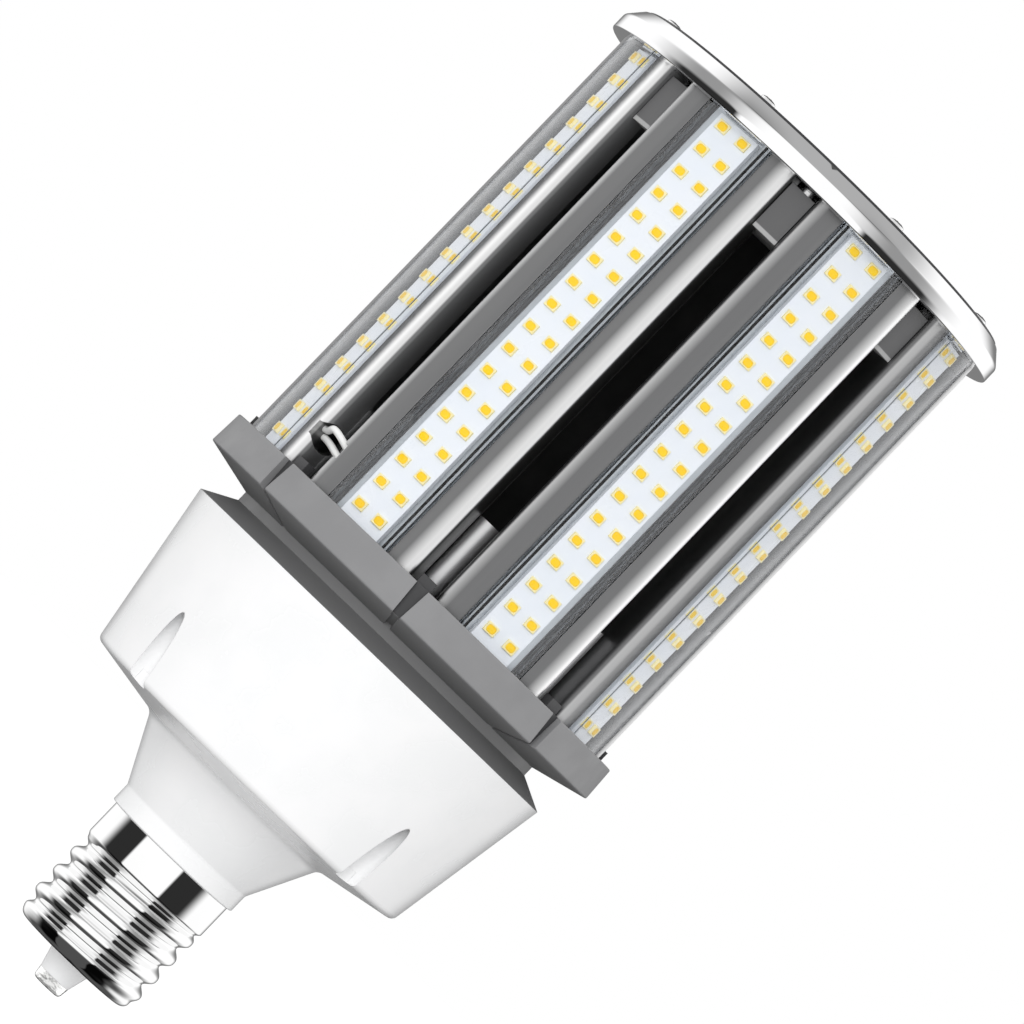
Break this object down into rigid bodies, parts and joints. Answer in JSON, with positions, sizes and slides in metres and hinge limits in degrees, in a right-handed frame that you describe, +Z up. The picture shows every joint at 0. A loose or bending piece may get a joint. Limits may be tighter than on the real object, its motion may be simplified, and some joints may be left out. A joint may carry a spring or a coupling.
{
  "type": "led hid replacement lamp",
  "caption": "Screw-base LED lamp for an HID fixture: upright modules of yellow LEDs round a finned aluminium body, on a white driver housing.",
  "frame": {"origin": "centre of the contact tip's lower face, which is the lowest point of the lamp", "axes": "+Z up the lamp's axis from the screw base to the cap, -Y the front, through a gap between two modules that faces the camera in the picture"},
  "size_m": [0.1318, 0.1318, 0.2859],
  "materials": {
    "tip_metal": "dull tinned",
    "insulator": "pale, slightly translucent",
    "shell_plating": "bright nickel plating",
    "white_plastic": "satin white moulding",
    "grey_plastic": "fine-grained grey moulding",
    "dark_plastic": "dark grey moulding",
    "cast_metal": "bright casting",
    "rail_aluminium": "satin extrusion, drawn lengthwise",
    "cap_metal": "polished",
    "plate_dark": "dark, finely textured",
    "board_white": "white solder mask",
    "led_phosphor": "yellow phosphor",
    "clear_cover": "clear, glossy",
    "screw_steel": "zinc plated",
    "black_plastic": "matt black",
    "lead_insulation": "white sleeve",
    "driver_board": "green solder mask",
    "ferrite": "dark ferrite and tape",
    "capacitor_sleeve": "shrink sleeve",
    "choke_winding": "enamelled copper wire"
  },
  "bodies": {
    "root": {"center_contact": "tip_metal", "contact_insulator": "insulator", "screw_shell": "shell_plating", "housing_neck": "white_plastic", "driver_housing": "white_plastic", "housing_screws": "screw_steel", "driver_board": "driver_board", "driver_transformer": "ferrite", "driver_capacitors": "capacitor_sleeve", "driver_choke": "choke_winding", "base_leads": "lead_insulation", "lower_collar": "grey_plastic", "collar_keys": "dark_plastic", "lower_frame": "cast_metal", "upper_frame": "dark_plastic", "core_tube": "black_plastic", "jumper_leads": "lead_insulation", "lower_rail_screws": "screw_steel", "upper_rail_screws": "screw_steel", "frame_screws": "screw_steel", "cap_spacers": "screw_steel", "cap_ring": "cap_metal", "top_plate": "plate_dark", "cap_screws": "screw_steel", "heat_sink_rail_1": "rail_aluminium", "led_board_1": "board_white", "led_chips_1": "led_phosphor", "module_cover_1": "clear_cover", "heat_sink_rail_2": "rail_aluminium", "led_board_2": "board_white", "led_chips_2": "led_phosphor", "module_cover_2": "clear_cover", "heat_sink_rail_3": "rail_aluminium", "led_board_3": "board_white", "led_chips_3": "led_phosphor", "module_cover_3": "clear_cover", "heat_sink_rail_4": "rail_aluminium", "led_board_4": "board_white", "led_chips_4": "led_phosphor", "module_cover_4": "clear_cover", "heat_sink_rail_5": "rail_aluminium", "led_board_5": "board_white", "led_chips_5": "led_phosphor", "module_cover_5": "clear_cover", "heat_sink_rail_6": "rail_aluminium", "led_board_6": "board_white", "led_chips_6": "led_phosphor", "module_cover_6": "clear_cover", "heat_sink_rail_7": "rail_aluminium", "led_board_7": "board_white", "led_chips_7": "led_phosphor", "module_cover_7": "clear_cover", "heat_sink_rail_8": "rail_aluminium", "led_board_8": "board_white", "led_chips_8": "led_phosphor", "module_cover_8": "clear_cover"}
  },
  "joints": []
}
